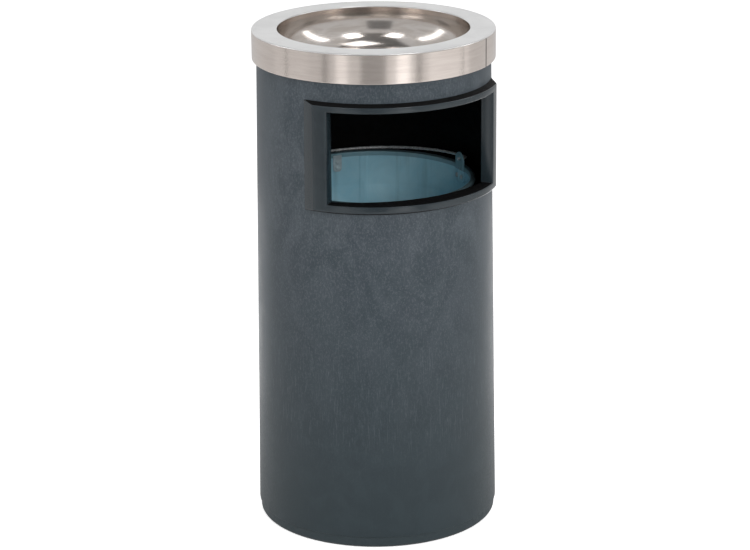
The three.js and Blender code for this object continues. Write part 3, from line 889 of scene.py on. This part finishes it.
def make_bucket():
    """The wall with its rolled rim, stiffening beads and lapped side seam, and the floor."""
    wall = 1.0
    rim = arc_points(RIM_CENTRE_R, RIM_CENTRE_Z, RIM_BEAD_R, -135, 180, 35)
    swages = (96, 420)
    steps = (-8, -6, -4, -3, -2, -1, 0, 1, 2, 3, 4, 6, 8)
    heights = {23.6, 30, 60, 100, 160, 220, 280, 340, 380, 420, 440, 450, 460}
    heights = sorted(heights | {z + step for z in swages for step in steps})

    def swelling(height):
        return 0.4 * sum(0.5 * math.exp(-((height - z) / 3.0) ** 2) for z in swages)

    outer = [(BUCKET_R + wall + swelling(z), z) for z in heights]
    inner = [(BUCKET_R + swelling(z), z) for z in reversed(heights)]
    profile = [(BUCKET_R, BUCKET_LOW), (BUCKET_R + wall, BUCKET_LOW)] + outer + rim + inner

    def seam(bearing, radius, height):
        """A lapped seam: the inner wall steps in by the sheet's thickness."""
        if radius > BUCKET_R + 0.5 or height > 461:
            return 0
        away = seam_distance(bearing, SIDE_SEAM_BEARING, BUCKET_R)
        return -0.7 * (1 - min(1, max(0, (away - 5) / 0.8)))

    bearings = seam_bearings(SIDE_SEAM_BEARING, [1.2, 2.2, 2.35, 2.5, 2.7])
    bucket = turned("bucket_can", profile, bearings, seam)
    finish_piece(bucket, "bucket", "bucket", ["bucket_wall"])
    low, radius = BUCKET_LOW + 0.2, BUCKET_R - 0.4
    disc = turned("bucket_floor", filleted([
        (0, low, 0), (radius, low, 0.3), (radius, low + 3.4, 0.3), (radius - 1.2, low + 3.4, 0.3),
        (radius - 2.4, low + 1.4, 1.5), (60, low + 1.4, 1.0), (58, low + 1.9, 1.0),
        (0, low + 1.9, 0)], closed=False, steps=4))
    finish_piece(disc, "bucket", "bucket", ["bucket_base"])


def round_hole(x, y, radius):
    return arc_points(x, y, radius, 0, 345, 23)


def upright_plate(bearing, radius):
    """Stands a flat outline up at a bearing, its face square to the radius."""
    out, up = outward(bearing), Vector((0, 0, 1))
    turn = Matrix((up.cross(out), up, out)).transposed().to_4x4()
    return Matrix.Translation(out * radius * MM) @ turn


def rib(x, low, high, width, rise):
    """Half hoops along an embossed rib with round ends, which stands off a plate's face
    towards the axis."""
    across, along = 8, 14
    radius = width / 2
    hoops = []
    for i in range(along + 1):
        z = low + (high - low) * i / along
        from_end = min(z - low, high - z)
        half = radius * math.sqrt(max(0.0, 1 - max(0.0, 1 - from_end / radius) ** 2)) + 0.01
        hoop = []
        for j in range(across + 1):
            angle = math.pi * j / across
            hoop.append(Vector((x + half * math.cos(angle), z,
                                -rise * math.sin(angle) * half / radius)) * MM)
        hoops.append(hoop)
    return hoops


def make_ears():
    outline = [(-9, 444), (9, 444), (EAR_R, 448), *arc_points(0, EAR_ARC_Z, EAR_R, 0, 180, 32),
               (-EAR_R, 448)]
    holes = [round_hole(0, PIVOT_Z, WIRE_R + 0.6), round_hole(-EAR_RIVET_OUT, EAR_RIVET_Z, 2),
             round_hole(EAR_RIVET_OUT, EAR_RIVET_Z, 2)]
    for name, bearing in (("ear_right", 90), ("ear_left", 270)):
        placing = upright_plate(bearing, EAR_FACE)
        parts = [plate(name, outline, holes, EAR_SHEET, 0.25, placing)]
        on_face = placing @ Matrix.Translation((0, 0, -EAR_SHEET / 2 * MM))
        for x in (-3, 3):
            hoops = [[on_face @ p for p in hoop] for hoop in rib(x, 446.5, 465, 2.6, 0.7)]
            parts.append(stacked_loops(f"{name}_rib_{x}", hoops, closed=False))
            weld(parts[-1])
        finish_piece(join_pieces(name, parts), "bucket", "bucket",
                     ["bucket_" + name])


def strip_section(route, sheet):
    """The section of a bent strip of sheet whose middle follows the route."""
    route = [np.array(p) for p in route]
    runs = [(b - a) / np.linalg.norm(b - a) for a, b in zip(route, route[1:])]
    left, right = [], []
    for here, first, second in zip(route, runs[:1] + runs, runs + runs[-1:]):
        normal = np.array([-first[1] - second[1], first[0] + second[0]])
        normal = normal / np.linalg.norm(normal)
        stretch = sheet / 2 / max(0.5, math.cos(math.acos(np.clip(first @ second, -1, 1)) / 2))
        left.append(here + normal * stretch)
        right.append(here - normal * stretch)
    return left[::-1] + right


def make_rest():
    """The plate and the hook on which the wire bail rests."""
    half = [(3.2, REST_LOW), (5.4, 443.2), (6.3, 445.6), (6.3, 463.6), (5.5, 464.4)]
    outline = half + [(-x, z) for x, z in half[::-1]]
    tab = plate("rest_tab", outline, [round_hole(0, z, 2) for z in REST_RIVET_HEIGHTS],
                EAR_SHEET, 0.25, upright_plate(180, EAR_FACE + 0.2))
    finish_piece(tab, "bucket", "plate", ["rest_plate"])

    inner_y, outer_y, shelf_z, tip_z = 129.25, 136.6, 459.85, 466.4
    route = [(inner_y, REST_LOW), (inner_y, shelf_z), (outer_y, shelf_z), (outer_y, tip_z)]
    strip = filleted([(y, z, 0.6) for y, z in strip_section(route, REST_SHEET)],
                     steps=4, guard=0.05)
    hook = stacked_loops("rest_hook", [[(x * MM, y * MM, z * MM) for y, z in strip]
                                       for x in (-6.5, -6.25, 6.25, 6.5)], closed=False)
    weld(hook)
    finish_piece(hook, "bucket", "plate", ["bail_rest"])


# ---- Wire and fasteners by geometry nodes

def geometry_tree(name, inputs):
    """A geometry tree that takes a mesh, the given numbers and a material."""
    tree, given, result = new_tree(
        name, "GeometryNodeTree",
        [("Geometry", "Geometry", None), *inputs, ("Material", "Material", None)],
        [("Geometry", "Geometry")])

    def give(geometry):
        real = tree.made("GeometryNodeRealizeInstances", Geometry=geometry)
        tree.feed(result, 0, tree.made("GeometryNodeSetMaterial", Geometry=real,
                                       Material=given["Material"]))
        return tree.tree
    return tree, given, give


def grown(name, tree, mesh, material, **values):
    """Runs a geometry tree on a mesh and gives back the plain mesh object. Values are
    in millimetres."""
    seed = add_object(name + "_seed", mesh)
    modifier = seed.modifiers.new("grow", "NODES")
    modifier.node_group = tree
    for socket in tree.interface.items_tree:
        value = values.get(socket.name.replace(" ", "_"))
        if socket.in_out == "INPUT" and value is not None:
            modifier[socket.identifier] = value * MM
        if socket.in_out == "INPUT" and socket.name == "Material":
            modifier[socket.identifier] = material
    piece = add_object(name, plain_mesh(name, seed))
    weld(piece, 0.002)
    return piece


def wire_tree():
    """A line of points becomes a round wire with closed ends."""
    hand, given, give = geometry_tree("round wire", [
        ("Wire Radius", "Float", 0.002), ("Sides", "Int", 20), ("Step", "Float", 0.002)])
    line = hand.made("GeometryNodeMeshToCurve", Mesh=given["Geometry"])
    line = hand.made("GeometryNodeResampleCurve", {"mode": "LENGTH"}, Curve=line,
                     Length=given["Step"])
    ring = hand.made("GeometryNodeCurvePrimitiveCircle", {"mode": "RADIUS"},
                     Resolution=given["Sides"], Radius=given["Wire Radius"])
    return give(hand.made("GeometryNodeCurveToMesh", Curve=line, Profile_Curve=ring,
                          Fill_Caps=True))


def fastener_tree():
    """Each point becomes a rivet or screw: a domed head, a shank, a tail head and a recess."""
    hand, given, give = geometry_tree("domed fastener", [
        ("Head Radius", "Float", 0.0034), ("Head Height", "Float", 0.0015),
        ("Shank Radius", "Float", 0.0017), ("Shank Length", "Float", 0.004),
        ("Tail Radius", "Float", 0.0034), ("Recess", "Float", 0.0)])

    def scaled(geometry, radius, height):
        size = hand.made("ShaderNodeCombineXYZ", X=radius, Y=radius, Z=height)
        return hand.made("GeometryNodeTransform", Geometry=geometry, Scale=size)

    def moved(geometry, distance):
        shift = hand.made("ShaderNodeCombineXYZ", Z=distance)
        return hand.made("GeometryNodeTransform", Geometry=geometry, Translation=shift)

    def without(solid, *cutters):
        cut = hand.add("GeometryNodeMeshBoolean", {"operation": "DIFFERENCE"}, Mesh_1=solid)
        for cutter in cutters:
            hand.feed(cut, "Mesh 2", cutter)
        return cut.outputs["Mesh"]

    ball = hand.made("GeometryNodeMeshUVSphere", Segments=28, Rings=16, Radius=1.0)
    knife = moved(hand.made("GeometryNodeMeshCube", Size=(4, 4, 2)), 1.0)
    half = without(ball, knife)
    height = given["Head Height"]
    head = scaled(half, given["Head Radius"], height)
    bar_long, bar_wide = (hand.times(given["Recess"], share) for share in (2.0, 0.36))
    bars = []
    for x, y in ((bar_long, bar_wide), (bar_wide, bar_long)):
        size = hand.made("ShaderNodeCombineXYZ", X=x, Y=y, Z=bar_long)
        bars.append(moved(hand.made("GeometryNodeMeshCube", Size=size), hand.times(height, -1.45)))
    has_recess = hand.math("GREATER_THAN", given["Recess"], 0.0001)
    pick = hand.add("GeometryNodeSwitch", {"input_type": "GEOMETRY"}, Switch=has_recess,
                    **{"False": head, "True": without(head, *bars)})
    shank = hand.made("GeometryNodeMeshCylinder", Vertices=24, Radius=given["Shank Radius"],
                      Depth=given["Shank Length"])
    shank = moved(shank, hand.times(given["Shank Length"], 0.5))
    tail = moved(scaled(half, given["Tail Radius"], hand.times(height, -1.0)),
                 given["Shank Length"])
    whole = hand.add("GeometryNodeJoinGeometry")
    for part in (pick.outputs["Output"], shank, hand.made("GeometryNodeFlipFaces", Mesh=tail)):
        hand.feed(whole, 0, part)
    axis = hand.made("GeometryNodeInputNamedAttribute", {"data_type": "FLOAT_VECTOR"}, Name="axis")
    turn = hand.made("FunctionNodeAlignRotationToVector", {"axis": "Z"}, Vector=axis)
    points = hand.made("GeometryNodeMeshToPoints", Mesh=given["Geometry"])
    return give(hand.made("GeometryNodeInstanceOnPoints", Points=points,
                          Instance=whole.outputs[0], Rotation=turn))


def point_cloud(places):
    """A mesh of loose points, each with an axis along which its fastener runs."""
    mesh = new_mesh("fastener_places", [point for point, _ in places])
    attribute = mesh.attributes.new("axis", "FLOAT_VECTOR", "POINT")
    for item, (_, axis) in zip(attribute.data, places):
        item.vector = axis
    return mesh


def make_fasteners():
    tree = fastener_tree()
    step = math.degrees(EAR_RIVET_OUT / BUCKET_R)
    ear_spots = [(90 - step, EAR_RIVET_Z), (90 + step, EAR_RIVET_Z),
                 (270 + step, EAR_RIVET_Z), (270 - step, EAR_RIVET_Z)]
    rest_spots = [(180, z) for z in REST_RIVET_HEIGHTS]
    surround_spots = [(b, z) for b in (-53.5, 53.5) for z in (484, 580)]
    foot_spots = [(b, 4.4) for b in FOOT_SCREW_BEARINGS]
    ear_nodes = [f"ear_rivet_{side}_{end}" for side in ("right", "left")
                 for end in ("front", "rear")]
    surround_sizes = {"Head_Radius": 4.5, "Head_Height": 2.7, "Shank_Radius": 2,
                      "Shank_Length": 10, "Tail_Radius": 0.5, "Recess": 2.2}
    foot_sizes = {"Head_Radius": 5.2, "Head_Height": 3.4, "Shank_Radius": 2.2,
                  "Shank_Length": 34, "Tail_Radius": 0.8, "Recess": 2.6}
    for name, body, radius, spots, look, nodes, sizes in (
            ("ear_rivets", "bucket", 124.4, ear_spots, "plate", ear_nodes,
             {"Shank_Length": 3.9}),
            ("rest_rivets", "bucket", 124.5, rest_spots, "plate",
             ["rest_rivet_lower", "rest_rivet_upper"], {"Shank_Length": 5.7}),
            ("surround_screws", "root", 148.7, surround_spots, "zinc",
             [f"frame_screw_{i}" for i in range(1, 5)], surround_sizes),
            ("foot_screws", "root", FOOT_SCREW_R, foot_spots, "zinc",
             [f"base_screw_{i}" for i in range(1, 5)], foot_sizes)):
        upright = name == "foot_screws"
        places = [(polar(radius, b, z), (0, 0, 1) if upright else outward(b)) for b, z in spots]
        piece = grown(name, tree, point_cloud(places), MATERIALS[look], **sizes)
        finish_piece(piece, body, look, nodes)


def make_bail():
    """A wire from stub to stub, bent up at the ears and carried round behind the bucket."""
    side = [(BAIL_STUB_X, 0), (BUCKET_R, 0),
            *arc_points(BAIL_R - BAIL_BEND, BAIL_BEND, BAIL_BEND, -90, 0, 10)]
    start = math.degrees(math.asin(BAIL_BEND / BAIL_R))
    middle = arc_points(0, 0, BAIL_R, start + 1, 179 - start, 120)
    route = side + middle + [(-x, y) for x, y in side[::-1]]
    tilt = math.asin((PIVOT_Z - BAIL_REST_Z) / BAIL_R)
    points = [(x * MM, y * math.cos(tilt) * MM, (PIVOT_Z - y * math.sin(tilt)) * MM)
              for x, y in route]
    mesh = new_mesh("bail_route", points, edges=[(i, i + 1) for i in range(len(points) - 1)])
    bail = grown("bail", wire_tree(), mesh, MATERIALS["wire"], Wire_Radius=WIRE_R, Step=1.6)
    finish_piece(bail, "bail", "wire", ["bail_wire"])


make_foot()
make_shell()
make_bosses()
make_opening_frame()
make_ring()
make_bowl()
make_collar()
make_bucket()
make_ears()
make_rest()
make_bail()
make_fasteners()


# ---- Camera, floor and lights

CAMERA_BEARING = -24
CAMERA_DISTANCE = 3.4635
CAMERA_HEIGHT = 1.4497
CAMERA_PITCH = 0.313
CAMERA_ROLL = -0.009
LENS = 129.9
LENS_SHIFT = -0.0009
SENSOR = 36
FLOOR_HALF = 14
FLOOR_GLOW = 0.6
AMBIENT = 0.62

# Soft rectangular lights round the bin: name, turn from the camera, distance, height,
# width, tallness, radiance, the height they aim at, and whether steel mirrors them.
PANELS = [
    ("strip left", -28.5, 1.5, 0.3, 0.28, 0.6, 0.42, 0.3, True),
    ("strip right", 26, 1.5, 0.3, 0.30, 0.6, 0.62, 0.3, True),
    ("side left", -80, 1.2, 0.3, 0.9, 0.6, 0.08, 0.3, True),
    ("side right", 72, 1.2, 0.3, 1.0, 0.6, 0.24, 0.3, True),
    ("rim left", -147, 0.55, 0.15, 0.5, 0.3, 1.2, 0.15, True),
    ("rim right", 147, 0.55, 0.15, 0.5, 0.3, 1.2, 0.15, True),
    ("backdrop", 180, 2.6, 1.5, 5.0, 1.8, 0.34, 1.5, True),
    ("lamp left", -42, 0.9, 2.25, 0.4, 0.4, 6.0, 0.45, True),
    ("lamp right", 42, 0.9, 2.25, 0.4, 0.4, 9.0, 0.45, True),
    ("side lamp left", -96, 0.9, 1.25, 0.16, 0.8, 3.0, 0.6, True),
    ("side lamp right", 96, 0.9, 1.25, 0.16, 0.8, 3.0, 0.6, True),
    ("overhead", 138, 0.34, 2.3, 0.5, 0.5, 3.0, 0.65, True),
    ("key", 24, 2.6, 1.6, 1.4, 1.0, 7.5, 0.5, False),
    ("fill", -62, 1.8, 0.9, 0.6, 0.6, 3.0, 0.5, False),
]

# Matt cards for the steel to reflect, which the camera itself doesn't see: name, turn
# from the camera, width, two edges as (distance, height), and tone.
CARDS = [
    ("front card", -0.5, 0.62, (1.55, 0.001), (1.55, 0.5), 0.42),
    ("edge card left", -44, 0.16, (1.5, 0.001), (1.5, 0.5), 0.42),
    ("edge card right", 40.5, 0.14, (1.5, 0.001), (1.5, 0.5), 0.42),
    ("line card left", -84, 0.03, (1.15, 0.001), (1.15, 0.5), 0.2),
    ("line card right", 86, 0.03, (1.15, 0.001), (1.15, 0.5), 0.2),
    ("dark card", -8, 1.8, (3.2, 1.3), (3.2, 3.4), 0.3),
    ("dark ceiling", 0, 1.3, (1.3, 2.6), (-0.9, 2.6), 0.16),
]


def facing(direction):
    """The turn that points a camera or light along a direction."""
    return direction.to_track_quat("-Z", "Y").to_matrix().to_4x4()


def make_camera():
    data = bpy.data.cameras.new("camera")
    data.lens, data.sensor_width, data.shift_x = LENS, SENSOR, LENS_SHIFT
    camera = add_object("camera", data)
    out, up = outward(CAMERA_BEARING), Vector((0, 0, 1))
    spot = out * CAMERA_DISTANCE + up * CAMERA_HEIGHT
    forward = -out * math.cos(CAMERA_PITCH) - up * math.sin(CAMERA_PITCH)
    camera.matrix_world = (Matrix.Translation(spot) @ facing(forward)
                           @ Matrix.Rotation(CAMERA_ROLL, 4, "Z"))
    bpy.context.scene.camera = camera


def stage_sheet(name, corners, tone, roughness):
    """A plain flat sheet that belongs to the stage, with its tree and shader at hand."""
    sheet = add_object(name, new_mesh(name, corners, faces=[(0, 1, 2, 3)]))
    material, tree, shader, _ = make_material(name)
    tree.feed(shader, "Base Color", (tone, tone, tone, 1))
    tree.feed(shader, "Roughness", roughness)
    sheet.data.materials.append(material)
    return sheet, tree, shader


def make_floor():
    """A pale matt floor that looks lighter to the camera than it lights the bin."""
    corners = [(x * FLOOR_HALF, y * FLOOR_HALF, 0)
               for x, y in ((-1, -1), (1, -1), (1, 1), (-1, 1))]
    _, tree, shader = stage_sheet("floor", corners, 0.9, 0.9)
    tree.feed(shader, "Specular IOR Level", 0.1)
    tree.feed(shader, "Emission Color", (1, 1, 1, 1))
    seen = tree.add("ShaderNodeLightPath").outputs["Is Camera Ray"]
    tree.feed(shader, "Emission Strength", tree.times(seen, FLOOR_GLOW))


def panel_light(name, turn, distance, centre, width, height, radiance, aim, mirrored):
    data = bpy.data.lights.new(name, "AREA")
    data.shape = "RECTANGLE"
    data.size, data.size_y = width, height
    data.energy = radiance * math.pi * width * height
    light = add_object(name, data)
    spot = Vector(polar(distance / MM, CAMERA_BEARING + turn, centre / MM))
    light.matrix_world = Matrix.Translation(spot) @ facing(Vector((0, 0, aim)) - spot)
    light.visible_camera = False
    light.visible_glossy = mirrored


def make_world():
    """Soft grey light all round, and a white background for the camera."""
    world = bpy.data.worlds.new("studio")
    bpy.context.scene.world = world
    world.use_nodes = True
    tree = Tree(world.node_tree)
    soft = world.node_tree.nodes["Background"]
    tree.feed(soft, "Color", (1, 1, 1, 1))
    tree.feed(soft, "Strength", AMBIENT)
    white = tree.made("ShaderNodeBackground", Color=(1, 1, 1, 1), Strength=1.0)
    mixed = tree.add("ShaderNodeMixShader")
    seen = tree.add("ShaderNodeLightPath").outputs["Is Camera Ray"]
    for socket, value in enumerate((seen, soft.outputs[0], white)):
        tree.feed(mixed, socket, value)
    tree.feed(world.node_tree.nodes["World Output"], "Surface", mixed.outputs[0])


def card(name, turn, width, first, second, tone):
    out = outward(CAMERA_BEARING + turn)
    across = Vector((0, 0, 1)).cross(out) * width / 2
    corners = [out * distance + across * side + Vector((0, 0, height))
               for (distance, height), side in ((first, -1), (first, 1), (second, 1), (second, -1))]
    sheet, _, _ = stage_sheet(name, corners, tone, 1.0)
    sheet.visible_camera = False


make_camera()
make_floor()
make_world()
for panel in PANELS:
    panel_light(*panel)
for sheet in CARDS:
    card(*sheet)
bpy.context.scene.view_settings.view_transform = "Standard"
